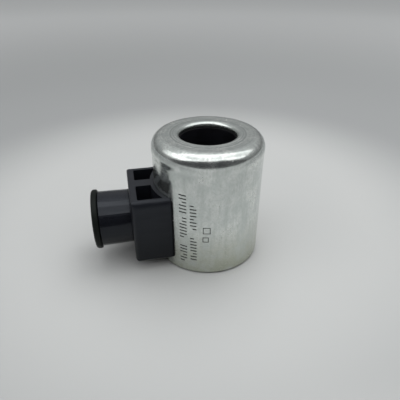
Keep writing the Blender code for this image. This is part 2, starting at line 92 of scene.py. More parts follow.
# How far out shapes that cut or fill start or end, well away from the faces they act on
OUTSIDE_CAN = CAN_RADIUS * 1.2
WITHIN_WINDOW = CAN_RADIUS * 0.6
WELL_INSIDE = CAN_RADIUS * 0.5

plate_low, plate_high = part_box("base_flux_plate")
PLATE_RADIUS = (plate_high.x - plate_low.x) / 2
PLATE_THICKNESS = plate_high.z
PLATE_CHAMFER = 1.2 * MM
PLATE_BORE_CHAMFER = 0.5 * MM

ring_low, ring_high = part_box("upper_flux_ring")
spool_low, spool_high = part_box("bobbin")
RING_EDGE_ROUNDING = 0.15 * MM
FLANGE_RADIUS = (spool_high.x - spool_low.x) / 2
FLANGE_THICKNESS = 2.4 * MM
BORE_RADIUS = 11.25 * MM
TUBE_RADIUS = 12.2 * MM
TUBE_MOUTH_ROUND = 0.35 * MM
SEAL_RADIUS = 15.0 * MM
SEAL_GROOVE_HALF_WIDTH = 0.8 * MM
SEAL_GROOVE_DEPTH = 1.2 * MM

winding_low, winding_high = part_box("copper_winding")
WINDING_RADIUS = (winding_high.x - winding_low.x) / 2
WINDING_INSIDE = TUBE_RADIUS + GAP
WIRE_PITCH = 0.45 * MM

plug_low, plug_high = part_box("dust_plug")
carrier_low, carrier_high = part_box("contact_carrier")
CONNECTOR_Z = (plug_low.z + plug_high.z) / 2
PLUG_FACE = BORE_X - plug_low.x
PLUG_RADIUS = (plug_high.z - plug_low.z) / 2
SPIGOT_END = BORE_X - plug_high.x
SHROUD_END = 45.9 * MM
SHROUD_INSIDE = 9.7 * MM
SHROUD_ROOT_RADIUS = 11.15 * MM
SHROUD_MOUTH_RADIUS = 11.4 * MM
SHROUD_FILLET = 0.25 * MM
SHROUD_LIP = 0.35 * MM
SPIGOT_RADIUS = SHROUD_INSIDE - GAP
CARRIER_BACK = BORE_X - carrier_high.x
CARRIER_FRONT = BORE_X - carrier_low.x

BLOCK_FACE = 33.1 * MM
BLOCK_END = 16.2 * MM
BLOCK_HALF_WIDTH = 14.9 * MM
BLOCK_LOW = 5.2 * MM
BLOCK_HIGH = 33.5 * MM
BLOCK_ROUNDING = 2.1 * MM
BLOCK_SLIGHT_ROUNDING = 0.9 * MM
BLOCK_EDGE_ROUNDING = 0.22 * MM
FRONT_EDGE_STRETCH = 1.6
SADDLE_GAP = 0.06 * MM
LIP_WIDTH = 0.5 * MM
LIP_RISE = 0.1 * MM
SADDLE_RADIUS = 24.2 * MM
FACE_WALL = 2.8 * MM
SIDE_WALL = 2.3 * MM
FLOOR_THICKNESS = 3.0 * MM
POCKET_ROUNDING = 0.6 * MM
WEB_CENTRE = 0.9 * MM
WEB_HALF_WIDTH = 2.6 * MM
CONTACT_SPACING = 8.0 * MM
CONTACT_HOLE_RADIUS = 1.55 * MM
TAIL_HOLE_RADIUS = 0.9 * MM

# The channel that the leads rise in, behind the pockets, and the floor left under it
CHANNEL_FACE = 24.8 * MM
CHANNEL_CENTRE = 0.7 * MM
CHANNEL_HALF_WIDTH = 2.05 * MM
CHANNEL_ABOVE_CONTACT = 2.2 * MM
CHANNEL_FLOOR_FACE = 28 * MM
CHANNEL_FLOOR_HALF_WIDTH = 8 * MM
CHANNEL_FLOOR_HIGH = 11.0 * MM
TAIL_HOLE_START = 24.5 * MM

CAN_STEPS = 256
ROUND_STEPS = 160
WINDING_STEPS = 128
PIN_STEPS = 48
SEAL_SECTION_STEPS = 20


# Mesh helpers


def arc(centre_r, centre_z, radius, start_deg, end_deg, steps):
    """Points of an arc in a turned profile, ends included."""
    points = []
    for i in range(steps + 1):
        angle = math.radians(start_deg + (end_deg - start_deg) * i / steps)
        points.append((centre_r + radius * math.cos(angle), centre_z + radius * math.sin(angle)))
    return points


def link(name, mesh):
    item = bpy.data.objects.new(name, mesh)
    bpy.context.scene.collection.objects.link(item)
    return item


def lathe(name, profile, steps=ROUND_STEPS, closed=True):
    """Turns (radius, height) points about Z.

    The profile runs down the outer side, and a point of radius 0 is a pole.
    """
    built = bmesh.new()
    angles = [2 * math.pi * i / steps for i in range(steps)]
    rings = []
    for r, z in profile:
        if r == 0:
            rings.append([built.verts.new((0, 0, z))])
        else:
            rings.append([built.verts.new((r * math.cos(a), r * math.sin(a), z)) for a in angles])
    pairs = list(zip(rings, rings[1:]))
    if closed:
        pairs.append((rings[-1], rings[0]))
    for upper, lower in pairs:
        for i in range(steps):
            j = (i + 1) % steps
            corners = [
                upper[i % len(upper)],
                lower[i % len(lower)],
                lower[j % len(lower)],
                upper[j % len(upper)],
            ]
            unique = list(dict.fromkeys(corners))
            if len(unique) > 2:
                built.faces.new(unique)
    mesh = bpy.data.meshes.new(name)
    built.to_mesh(mesh)
    built.free()
    return link(name, mesh)


def solid_cylinder(name, radius, low, high, steps=CAN_STEPS):
    return lathe(name, [(0, high), (radius, high), (radius, low), (0, low)], steps, False)


def bar(name, low, high):
    built = bmesh.new()
    bmesh.ops.create_cube(built, size=1.0)
    for vertex in built.verts:
        vertex.co = [(a + b) / 2 + (b - a) * c for a, b, c in zip(low, high, vertex.co)]
    mesh = bpy.data.meshes.new(name)
    built.to_mesh(mesh)
    built.free()
    return link(name, mesh)


def applied(item):
    """Makes the item's modifiers part of its mesh."""
    bpy.context.view_layer.update()
    graph = bpy.context.evaluated_depsgraph_get()
    mesh = bpy.data.meshes.new_from_object(item.evaluated_get(graph))
    item.modifiers.clear()
    item.data = mesh
    return item


def bevel(item, width, segments, angle_deg=40.0):
    modifier = item.modifiers.new("Bevel", "BEVEL")
    modifier.width = width
    modifier.segments = segments
    modifier.limit_method = "ANGLE"
    modifier.angle_limit = math.radians(angle_deg)
    modifier.miter_outer = "MITER_ARC"
    return applied(item)


def combine(item, other, operation):
    """Booleans the other shape into the item, and removes the other."""
    modifier = item.modifiers.new("Boolean", "BOOLEAN")
    modifier.operation = operation
    modifier.solver = "EXACT"
    modifier.object = other
    applied(item)
    bpy.data.objects.remove(other)
    return item


def clean(item):
    """Takes out the needle faces, with no area, that cuts leave behind, and closes the mesh."""
    too_short = 0.0002 * MM
    built = bmesh.new()
    built.from_mesh(item.data)
    bmesh.ops.dissolve_degenerate(built, dist=too_short, edges=built.edges[:])
    open_edges = [edge for edge in built.edges if edge.is_boundary]
    bmesh.ops.holes_fill(built, edges=open_edges, sides=0)
    bmesh.ops.dissolve_degenerate(built, dist=too_short, edges=built.edges[:])
    built.to_mesh(item.data)
    built.free()
    return item


def smooth(item, angle_deg, weighted=False):
    item.data.shade_smooth()
    item.data.set_sharp_from_angle(angle=math.radians(angle_deg))
    if weighted:
        modifier = item.modifiers.new("Normals", "WEIGHTED_NORMAL")
        modifier.keep_sharp = True
        applied(item)
    return item


def move_to_bore(item):
    item.location = (BORE_X, 0.0, 0.0)
    return item


def lay_along_connector(item, z=CONNECTOR_Z, x=BORE_X):
    """Lays a turned piece down: its height becomes the distance out along -X."""
    item.rotation_euler = (0.0, -math.pi / 2, 0.0)
    item.location = (x, 0.0, z)
    return item


def finished(item, body, node, material):
    """Gives a piece its finish, and lets it ride and stand for its CAD node."""
    item.data.materials.clear()
    item.data.materials.append(material)
    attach(item, body)
    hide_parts(node)


# Finishes


class Finish:
    """A Principled material with short ways to add nodes. Texture lengths are in metres."""

    def __init__(self, name, colour, roughness, metallic=0.0, ior=1.5):
        self.material = bpy.data.materials.new(name)
        self.material.use_nodes = True
        self.tree = self.material.node_tree
        self.shader = self.tree.nodes["Principled BSDF"]
        self.shader.inputs["Base Color"].default_value = (*colour, 1.0)
        self.shader.inputs["Roughness"].default_value = roughness
        self.shader.inputs["Metallic"].default_value = metallic
        self.shader.inputs["IOR"].default_value = ior
        self.object_space = self.tree.nodes.new("ShaderNodeTexCoord").outputs["Object"]

    def put(self, socket, value):
        """Links a node's output to the socket, or sets the socket to a plain value."""
        if isinstance(value, bpy.types.NodeSocket):
            self.tree.links.new(value, socket)
        else:
            socket.default_value = value

    def stretched(self, scale):
        node = self.tree.nodes.new("ShaderNodeVectorMath")
        node.operation = "MULTIPLY"
        self.put(node.inputs[0], self.object_space)
        self.put(node.inputs[1], scale)
        return node.outputs["Vector"]

    def noise(self, size, vector=None, detail=2.0, rough=0.5):
        """Noise from 0 to 1 with blotches of about the given size."""
        node = self.tree.nodes.new("ShaderNodeTexNoise")
        node.inputs["Scale"].default_value = 1.0 / size
        node.inputs["Detail"].default_value = detail
        node.inputs["Roughness"].default_value = rough
        self.put(node.inputs["Vector"], vector or self.object_space)
        return node.outputs["Fac"]

    def ranged(self, value, low, high, to_low=0.0, to_high=1.0):
        """Takes low to to_low and high to to_high, with a soft start and end."""
        node = self.tree.nodes.new("ShaderNodeMapRange")
        node.interpolation_type = "SMOOTHSTEP"
        self.put(node.inputs["Value"], value)
        ends = {"From Min": low, "From Max": high, "To Min": to_low, "To Max": to_high}
        for key, number in ends.items():
            node.inputs[key].default_value = number
        return node.outputs["Result"]

    def maths(self, operation, first, second=0.0):
        node = self.tree.nodes.new("ShaderNodeMath")
        node.operation = operation
        self.put(node.inputs[0], first)
        self.put(node.inputs[1], second)
        return node.outputs["Value"]

    def part(self, axis):
        """One coordinate of the piece's own space."""
        node = self.tree.nodes.new("ShaderNodeSeparateXYZ")
        self.put(node.inputs["Vector"], self.object_space)
        return node.outputs[axis]

    def radius(self):
        """Distance from the piece's own axis."""
        squares = [self.maths("MULTIPLY", self.part(axis), self.part(axis)) for axis in "XY"]
        return self.maths("SQRT", self.maths("ADD", squares[0], squares[1]))

    def along(self, value):
        """A value made into a vector, for a texture that varies in one direction only."""
        node = self.tree.nodes.new("ShaderNodeCombineXYZ")
        self.put(node.inputs["X"], value)
        return node.outputs["Vector"]

    def blend(self, amount, first, second):
        """Mixes two colours, each a tuple or a node's output."""
        node = self.tree.nodes.new("ShaderNodeMix")
        node.data_type = "RGBA"
        self.put(node.inputs["Factor"], amount)
        for key, colour in ((6, first), (7, second)):
            made = isinstance(colour, bpy.types.NodeSocket)
            self.put(node.inputs[key], colour if made else (*colour, 1.0))
        return node.outputs[2]

    def colour(self, value):
        self.put(self.shader.inputs["Base Color"], value)

    def rough(self, value):
        self.put(self.shader.inputs["Roughness"], value)

    def bumped(self, heights):
        """Adds bump from (value, depth in metres) pairs, and gives the material."""
        normal = None
        for value, depth in heights:
            node = self.tree.nodes.new("ShaderNodeBump")
            node.inputs["Strength"].default_value = 1.0
            node.inputs["Distance"].default_value = depth
            self.put(node.inputs["Height"], value)
            if normal:
                self.put(node.inputs["Normal"], normal)
            normal = node.outputs["Normal"]
        self.put(self.shader.inputs["Normal"], normal)
        return self.material


ZINC_DARK, ZINC_LIGHT = (0.6, 0.64, 0.62), (0.77, 0.795, 0.77)
ZINC_STREAK = (0.54, 0.575, 0.555)
ZINC_SPECK = (0.52, 0.55, 0.53)
ZINC_RING = (0.42, 0.45, 0.44)
ZINC_TINT_AND_SHADE = (0.46, 0.48, 0.4)
ZINC_PAINTED_FOOT_SHADOW = (0.08, 0.08, 0.07)


def zinc_finish():
    """Bright zinc on drawn steel.

    It has turned rings on top, faint upright drawing marks and mottling on the side, a greenish
    cast with painted shade lower down, and a painted contact shadow round the bottom edge.
    """
    finish = Finish("zinc plated steel", (0.6, 0.625, 0.6), 0.2, metallic=0.96)
    clouds = finish.noise(7.0 * MM, detail=5.0, rough=0.65)
    grain = finish.noise(0.9 * MM, detail=2.0)
    upright = finish.stretched((1.0, 1.0, 0.04))
    streaks = finish.noise(0.5 * MM, upright, detail=3.0)
    less_upright = finish.stretched((1.0, 1.0, 0.15))
    broad_streaks = finish.noise(1.6 * MM, less_upright, detail=4.0, rough=0.7)
    rings = finish.noise(0.16 * MM, finish.along(finish.radius()), detail=3.0, rough=0.7)
    broad_rings = finish.noise(0.8 * MM, finish.along(finish.radius()), detail=3.0, rough=0.6)

    # Greenish colour lower down, deepened into painted shade on the lower side.
    low_down = finish.ranged(finish.part("Z"), 0.0, 26.0 * MM, 1.0, 0.0)
    tint_and_shade = finish.maths("MULTIPLY", low_down, finish.ranged(clouds, 0.3, 0.6, 0.25, 1.0))
    base = finish.blend(finish.ranged(clouds, 0.35, 0.65), ZINC_DARK, ZINC_LIGHT)
    streak_share = finish.ranged(broad_streaks, 0.42, 0.68, 0.0, 0.7)
    streaked = finish.blend(streak_share, base, ZINC_STREAK)
    speckled = finish.blend(finish.ranged(grain, 0.45, 0.7, 0.0, 0.5), streaked, ZINC_SPECK)

    near_hole = finish.ranged(finish.radius(), 14.0 * MM, 18.5 * MM, 0.75, 0.25)
    high_up = finish.ranged(finish.part("Z"), 50.0 * MM, 53.0 * MM)
    on_top = finish.maths("MULTIPLY", near_hole, high_up)
    ring_lines = finish.maths("MULTIPLY", on_top, finish.ranged(broad_rings, 0.42, 0.62))
    ringed = finish.blend(ring_lines, speckled, ZINC_RING)
    tinted_and_shaded = finish.blend(tint_and_shade, ringed, ZINC_TINT_AND_SHADE)

    # Painted contact shadow: a dark band round the bottom edge of the side.
    low_edge = finish.ranged(finish.part("Z"), 0.35 * MM, 1.2 * MM, 0.9, 0.0)
    outer_edge = finish.ranged(finish.radius(), CAN_RADIUS - 0.9 * MM, CAN_RADIUS - 0.4 * MM)
    painted_foot_shadow = finish.maths("MULTIPLY", low_edge, outer_edge)
    finish.colour(finish.blend(painted_foot_shadow, tinted_and_shaded, ZINC_PAINTED_FOOT_SHADOW))

    mottle = finish.ranged(grain, 0.3, 0.7, 0.16, 0.24)
    finish.rough(finish.maths("ADD", mottle, finish.ranged(clouds, 0.3, 0.7, -0.02, 0.05)))
    marks = [(rings, 2.2e-6), (broad_rings, 6e-6), (streaks, 2.5e-6)]
    waves = [(finish.noise(7.0 * MM), 8e-5), (finish.noise(2.5 * MM), 2.2e-5)]
    return finish.bumped(marks + waves)


def steel_finish():
    """Bare turned steel."""
    finish = Finish("turned steel", (0.42, 0.41, 0.39), 0.3, metallic=1.0)
    rings = finish.noise(0.2 * MM, finish.along(finish.radius()), detail=3.0)
    clouds = finish.noise(4.0 * MM)
    finish.colour(finish.blend(clouds, (0.38, 0.37, 0.35), (0.48, 0.47, 0.45)))
    finish.rough(finish.ranged(clouds, 0.3, 0.7, 0.24, 0.38))
    return finish.bumped([(rings, 6e-6)])


# The housing's painted shade and gloss
DULL_AND_SHADED_WITHIN = BLOCK_END + BLOCK_ROUNDING * 0.9  # nearer the bore than this, it has painted shade and is duller
DULLNESS = 0.5  # how much rougher it is there
# Painted shade: the colour the housing darkens to against the can and low down
NYLON_PAINTED_SHADE = (0.0008, 0.0009, 0.0013)
POLISH = 0.22  # how much less rough the round connector is than the block


def moulded_finish(
    name,
    dark,
    light,
    low_rough,
    high_rough,
    grain_depth=4e-6,
    sheen=(1.0, 1.0, 1.0),
    level=0.5,
    polished_beyond=None,
):
    """Moulded plastic or rubber: a fine spark-eroded grain, faint flow marks and uneven gloss.

    With polished_beyond, a distance out from the bore axis, it's the housing's finish: painted
    shade low down and against the can, and beyond that distance smoother, with a fine ripple.
    """
    finish = Finish(name, dark, low_rough, ior=1.53)
    finish.shader.inputs["Specular IOR Level"].default_value = level
    finish.shader.inputs["Specular Tint"].default_value = (*sheen, 1.0)
    grain = finish.noise(0.14 * MM, detail=2.0, rough=0.6)
    flow = finish.noise(5.0 * MM, finish.stretched((0.5, 1.0, 1.6)), detail=3.0)
    drag = finish.noise(0.9 * MM, finish.stretched((0.03, 1.0, 1.0)), detail=2.0)
    handled = finish.noise(11.0 * MM, detail=4.0, rough=0.6)
    shade = finish.blend(finish.ranged(flow, 0.35, 0.7), dark, light)
    uneven = finish.ranged(handled, 0.35, 0.68, low_rough, high_rough)
    heights = [(grain, grain_depth), (drag, 1.2e-5), (flow, 1.5e-5)]
    if polished_beyond:
        # Painted shade: the colour darkens towards the can and towards the bottom of the block.
        near_can = finish.ranged(finish.part("X"), -DULL_AND_SHADED_WITHIN, -DULL_AND_SHADED_WITHIN + 0.5 * MM)
        higher_up = finish.ranged(finish.part("Z"), BLOCK_LOW, BLOCK_HIGH, 0.1, 1.0)
        off_can = finish.maths("SUBTRACT", 1.0, near_can)
        shade = finish.blend(finish.maths("MULTIPLY", higher_up, off_can), NYLON_PAINTED_SHADE, shade)
        far_out = finish.ranged(finish.part("X"), -polished_beyond, -polished_beyond - GAP)
        uneven = finish.maths("SUBTRACT", uneven, finish.maths("MULTIPLY", far_out, POLISH))
        uneven = finish.maths("ADD", uneven, finish.maths("MULTIPLY", near_can, DULLNESS))
        ripple = finish.noise(2.6 * MM, finish.stretched((0.06, 1.0, 1.0)), detail=2.0)
        heights.append((finish.maths("MULTIPLY", ripple, far_out), 2.5e-4))
    finish.colour(shade)
    finish.rough(uneven)
    return finish.bumped(heights)


def copper_finish():
    """Enamelled wire, wound round the piece's own axis."""
    finish = Finish("enamelled copper", (0.6, 0.2, 0.07), 0.25, metallic=1.0)
    turns = finish.noise(WIRE_PITCH, finish.along(finish.part("Z")), detail=1.0)
    finish.colour(finish.blend(turns, (0.5, 0.15, 0.05), (0.7, 0.27, 0.11)))
    finish.shader.inputs["Coat Weight"].default_value = 0.6
    finish.rough(finish.ranged(finish.noise(1.5 * MM), 0.3, 0.7, 0.2, 0.34))
    return finish.bumped([(finish.noise(0.25 * MM), 4e-6)])


def tin_finish():
    """Bright tin, worn to a browner grey in places."""
    tin, worn = (0.72, 0.71, 0.68), (0.6, 0.55, 0.45)
    finish = Finish("tin plating", tin, 0.22, metallic=1.0)
    wear = finish.noise(1.2 * MM, detail=3.0)
    finish.colour(finish.blend(finish.ranged(wear, 0.55, 0.75), tin, worn))
    finish.rough(finish.ranged(wear, 0.3, 0.7, 0.18, 0.32))
    return finish.bumped([(finish.noise(0.2 * MM), 3e-6)])


def film_finish():
    """Amber film with a fine weave."""
    finish = Finish("insulating film", (0.62, 0.42, 0.08), 0.3)
    weave = finish.noise(0.3 * MM, finish.stretched((1.0, 1.0, 0.15)), detail=2.0)
    finish.colour(finish.blend(weave, (0.58, 0.38, 0.07), (0.7, 0.5, 0.13)))
    finish.rough(finish.ranged(weave, 0.3, 0.7, 0.25, 0.4))
    return finish.bumped([(weave, 5e-6)])


def ink_finish():
    """Dark printing ink, a little patchy where it thins out."""
    ink, thin_ink = (0.012, 0.014, 0.012), (0.07, 0.08, 0.07)
    finish = Finish("printed ink", ink, 0.55)
    patches = finish.noise(0.35 * MM, detail=3.0)
    finish.colour(finish.blend(finish.ranged(patches, 0.55, 0.8), ink, thin_ink))
    return finish.bumped([(finish.noise(0.1 * MM), 2e-6)])


# Steel can and flux plates


def shoulder_points():
    """From the flat top over the widest line to the straight side."""
    arc_steps, swell_steps = 28, 10
    centre_r = CAN_RADIUS + SHOULDER_SWELL - SHOULDER_WIDTH
    widest_z = CAN_HEIGHT - SHOULDER_DROP
    quarter = arc(0.0, 0.0, 1.0, 90, 0, arc_steps)
    points = [(centre_r + SHOULDER_WIDTH * r, widest_z + SHOULDER_DROP * z) for r, z in quarter]
    for i in range(1, swell_steps + 1):
        share = i / swell_steps
        swell = SHOULDER_SWELL * (1 + math.cos(math.pi * share)) / 2
        points.append((CAN_RADIUS + swell, widest_z - SWELL_LENGTH * share))
    return points


def steel_can(material):
    edge_r = HOLE_RADIUS + HOLE_EDGE_RADIUS
    edge_z = CAN_HEIGHT - HOLE_EDGE_RADIUS
    rim_inside = PLATE_RADIUS - PLATE_CHAMFER + GAP * math.sqrt(2)
    profile = arc(edge_r, edge_z, HOLE_EDGE_RADIUS, 180, 90, 14)
    for groove_r, half_width, depth in TOP_GROOVES:
        profile += [
            (groove_r - 2 * half_width, CAN_HEIGHT),
            (groove_r - half_width, CAN_HEIGHT - depth * GROOVE_SLOPE_SHARE),
            (groove_r, CAN_HEIGHT - depth),
            (groove_r + half_width, CAN_HEIGHT - depth * GROOVE_SLOPE_SHARE),
            (groove_r + 2 * half_width, CAN_HEIGHT),
        ]
    shoulder = shoulder_points()
    profile += shoulder
    side_high = shoulder[-1][1]
    side_rows = 12
    for i in range(1, side_rows):
        profile.append((CAN_RADIUS, side_high + (RIM_ROUND - side_high) * i / side_rows))
    profile += arc(CAN_RADIUS - RIM_ROUND, RIM_ROUND, RIM_ROUND, 0, -90, 8)
    profile += [(rim_inside, 0.0), (CAN_INSIDE, CAN_INSIDE - rim_inside)]
    inner_r = CAN_INSIDE - INNER_SHOULDER_RADIUS
    inner_z = CAN_HEIGHT - CAN_WALL - INNER_SHOULDER_RADIUS
    profile += arc(inner_r, inner_z, INNER_SHOULDER_RADIUS, 0, 90, 8)
    profile += [(HOLE_RADIUS, CAN_HEIGHT - CAN_WALL)]
    can = lathe("steel_can_shell", profile, CAN_STEPS)
    window = bar(
        "window",
        (-OUTSIDE_CAN, -WINDOW_HALF_WIDTH, WINDOW_LOW),
        (-WITHIN_WINDOW, WINDOW_HALF_WIDTH, WINDOW_HIGH),
    )
    combine(can, bevel(window, WINDOW_ROUNDING, 4), "DIFFERENCE")
    smooth(can, 30)
    finished(move_to_bore(can), COIL, "steel_can", material)


def base_plate(material):
    ring_share = 0.85  # a ring of points stands this far along the outer chamfer
    profile = [
        (PLATE_RADIUS, PLATE_THICKNESS),
        (PLATE_RADIUS, PLATE_CHAMFER),
        (PLATE_RADIUS - PLATE_CHAMFER * ring_share, PLATE_CHAMFER * (1 - ring_share)),
        (PLATE_RADIUS - PLATE_CHAMFER, 0.0),
        (HOLE_RADIUS + PLATE_BORE_CHAMFER, 0.0),
        (HOLE_RADIUS, PLATE_BORE_CHAMFER),
        (HOLE_RADIUS, PLATE_THICKNESS),
    ]
    plate = smooth(lathe("base_plate", profile), 25)
    finished(move_to_bore(plate), COIL, "base_flux_plate", material)


def upper_ring(material):
    slope = INNER_SHOULDER_RADIUS
    inner = TUBE_RADIUS + GAP
    profile = [
        (PLATE_RADIUS - slope, ring_high.z),
        (PLATE_RADIUS, ring_high.z - slope),
        (PLATE_RADIUS, ring_low.z),
        (inner, ring_low.z),
        (inner, ring_high.z),
    ]
    ring = bevel(lathe("flux_ring", profile), RING_EDGE_ROUNDING, 2)
    finished(move_to_bore(smooth(ring, 25)), COIL, "upper_flux_ring", material)


# Bobbin, winding and seals


def cut_lead_slots(spool, low):
    """Slots through the lower flange, one for each lead: its place across and how deep it goes."""
    half_width = 0.75 * MM
    slot_floor = low + 1.35 * MM
    lead_slots = (
        (WEB_CENTRE - 1.0 * MM, WINDING_INSIDE),
        (WEB_CENTRE + 1.0 * MM, WINDING_RADIUS - 1.4 * MM),
    )
    for y, depth in lead_slots:
        slot = bar(
            "slot",
            (-FLANGE_RADIUS * 1.1, y - half_width, slot_floor),
            (-depth, y + half_width, low + FLANGE_THICKNESS + GAP),
        )
        combine(spool, slot, "DIFFERENCE")


def bobbin(material):
    groove_in = SEAL_RADIUS - SEAL_GROOVE_HALF_WIDTH
    groove_out = SEAL_RADIUS + SEAL_GROOVE_HALF_WIDTH
    low, high = spool_low.z, ring_low.z - GAP
    top = spool_high.z
    rounding = TUBE_MOUTH_ROUND
    profile = arc(TUBE_RADIUS - rounding, top - rounding, rounding, 90, 0, 4)
    profile += [
        (TUBE_RADIUS, high),
        (groove_in, high),
        (groove_in, high - SEAL_GROOVE_DEPTH),
        (groove_out, high - SEAL_GROOVE_DEPTH),
        (groove_out, high),
        (FLANGE_RADIUS, high),
        (FLANGE_RADIUS, high - FLANGE_THICKNESS),
        (TUBE_RADIUS, high - FLANGE_THICKNESS),
        (TUBE_RADIUS, low + FLANGE_THICKNESS),
        (FLANGE_RADIUS, low + FLANGE_THICKNESS),
        (FLANGE_RADIUS, low),
        (groove_out, low),
        (groove_out, low + SEAL_GROOVE_DEPTH),
        (groove_in, low + SEAL_GROOVE_DEPTH),
        (groove_in, low),
    ]
    profile += arc(BORE_RADIUS + rounding, low + rounding, rounding, 270, 180, 4)
    profile += arc(BORE_RADIUS + rounding, top - rounding, rounding, 180, 90, 4)[:-1]
    spool = lathe("bobbin_spool", profile)
    cut_lead_slots(spool, low)
    finished(move_to_bore(smooth(spool, 30)), COIL, "bobbin", material)


def winding(material):
    """The outer layer's turns stand out as half-round ridges."""
    turns = int((winding_high.z - winding_low.z) / WIRE_PITCH)
    pitch = (winding_high.z - winding_low.z) / turns
    ridge = pitch / 2
    profile = []
    for turn in range(turns):
        middle = winding_high.z - pitch * (turn + 0.5)
        profile += arc(WINDING_RADIUS - ridge, middle, ridge, 80, -80, 4)
    profile += [(WINDING_INSIDE, winding_low.z), (WINDING_INSIDE, winding_high.z)]
    coil = smooth(lathe("wound_wire", profile, WINDING_STEPS), 60)
    finished(move_to_bore(coil), COIL, "copper_winding", material)


def seal_ring(name, node, material):
    low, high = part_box(node)
    radius = (high.z - low.z) / 2
    steps = SEAL_SECTION_STEPS
    profile = arc(SEAL_RADIUS, (low.z + high.z) / 2, radius, 90, -270 + 360 / steps, steps - 1)
    ring = smooth(lathe(name, profile), 60)
    finished(move_to_bore(ring), COIL, node, material)


# Connector housing, contacts and plug


def pocket(y_low, y_high):
    """An open pocket of the block, with a curved back wall left against the can."""
    shape = bar(
        "pocket",
        (-BLOCK_FACE + FACE_WALL, y_low, BLOCK_LOW + FLOOR_THICKNESS),
        (-WELL_INSIDE, y_high, BLOCK_HIGH * 1.2),
    )
    bevel(shape, POCKET_ROUNDING, 3)
    saddle = solid_cylinder("saddle", SADDLE_RADIUS, 0.0, CAN_HEIGHT)
    return combine(shape, saddle, "DIFFERENCE")


def shroud():
    """The connector's round wall: a fillet at its root, a slight taper and a rounded mouth."""
    fillet, lip = SHROUD_FILLET, SHROUD_LIP
    slope = (SHROUD_MOUTH_RADIUS - SHROUD_ROOT_RADIUS) / (SHROUD_END - BLOCK_FACE)
    fillet_r = SHROUD_ROOT_RADIUS + slope * fillet + fillet
    wall_bottom = BLOCK_FACE - FACE_WALL / 3
    profile = arc(SHROUD_MOUTH_RADIUS - lip, SHROUD_END - lip, lip, 90, 0, 4)
    profile += arc(fillet_r, BLOCK_FACE + fillet, fillet, 180, 260, 6)
    profile += [(SHROUD_ROOT_RADIUS + fillet, wall_bottom), (SHROUD_INSIDE, wall_bottom)]
    profile += arc(SHROUD_INSIDE + lip, SHROUD_END - lip, lip, 180, 90, 4)
    return lay_along_connector(lathe("shroud", profile), x=0.0)


def round_block_edges(block):
    """The front top edge and three of the upright edges are rounded most."""
    weights = block.data.attributes.new("bevel_weight_edge", "FLOAT", "EDGE")
    for edge, weight in zip(block.data.edges, weights.data):
        first, second = (block.data.vertices[i].co for i in edge.vertices)
        middle = (first + second) / 2
        upright = first.z != second.z
        at_can = middle.x > -(BLOCK_FACE + BLOCK_END) / 2
        upper = middle.z > (BLOCK_LOW + BLOCK_HIGH) / 2
        front_top = first.x != second.x and middle.y < 0 and upper
        full = (upright and (at_can or middle.y < 0)) or front_top
        weight.value = 1.0 if full else BLOCK_SLIGHT_ROUNDING / BLOCK_ROUNDING
    modifier = block.modifiers.new("Round edges", "BEVEL")
    modifier.width = BLOCK_ROUNDING
    modifier.segments = 10
    modifier.limit_method = "WEIGHT"
    applied(block)
    # The front top edge rolls over gently: its rounding is taller than it is deep.
    for vertex in block.data.vertices:
        below_top = BLOCK_HIGH - vertex.co.z
        if vertex.co.y < 0 and below_top < BLOCK_ROUNDING * 1.01:
            vertex.co.z = BLOCK_HIGH - below_top * FRONT_EDGE_STRETCH


def saddle_lip():
    """A thin half-round lip along the top of the curved wall, where the block meets the can."""
    inner = CAN_RADIUS + SADDLE_GAP
    half = LIP_WIDTH / 2
    profile = [(inner, BLOCK_HIGH - LIP_WIDTH)]
    profile += arc(inner + half, BLOCK_HIGH - half + LIP_RISE, half, 180, 0, 8)
    profile += [(inner + LIP_WIDTH, BLOCK_HIGH - LIP_WIDTH)]
    lip = lathe("lip", profile[::-1], CAN_STEPS)
    reach = bar(
        "reach",
        (-OUTSIDE_CAN, -BLOCK_HALF_WIDTH + BLOCK_ROUNDING, 0.0),
        (-BLOCK_END, BLOCK_HALF_WIDTH - BLOCK_SLIGHT_ROUNDING, CAN_HEIGHT),
    )
    return combine(lip, reach, "INTERSECT")


def winding_sleeve():
    """The part of the moulding inside the can, round the winding."""
    inner, top = FLANGE_RADIUS + GAP, ring_low.z - GAP
    corners = [(PLATE_RADIUS, top), (PLATE_RADIUS, spool_low.z), (inner, spool_low.z), (inner, top)]
    return lathe("sleeve", corners, CAN_STEPS)


def window_neck():
    """Joins the block to the sleeve through the can's window."""
    neck = bar(
        "neck",
        (-CAN_RADIUS - NECK_REACH, -WINDOW_HALF_WIDTH + GAP, WINDOW_LOW + GAP),
        (-WELL_INSIDE, WINDOW_HALF_WIDTH - GAP, WINDOW_HIGH - GAP),
    )
    bevel(neck, NECK_ROUNDING, 4)
    coil_space = solid_cylinder("coil_space", FLANGE_RADIUS + GAP, 0.0, CAN_HEIGHT)
    return combine(neck, coil_space, "DIFFERENCE")


def lead_channel():
    """The space behind the pockets, where the leads rise to the contacts."""
    channel_high = CONNECTOR_Z + CONTACT_SPACING / 2 + CHANNEL_ABOVE_CONTACT
    channel = bar(
        "channel",
        (-CHANNEL_FACE, CHANNEL_CENTRE - CHANNEL_HALF_WIDTH, 0.0),
        (-WELL_INSIDE, CHANNEL_CENTRE + CHANNEL_HALF_WIDTH, channel_high),
    )
    channel_floor = bar(
        "channel_floor",
        (-CHANNEL_FLOOR_FACE, -CHANNEL_FLOOR_HALF_WIDTH, -GAP),
        (-PLATE_RADIUS - GAP / 2, CHANNEL_FLOOR_HALF_WIDTH, CHANNEL_FLOOR_HIGH),
    )
    return combine(channel, channel_floor, "DIFFERENCE")


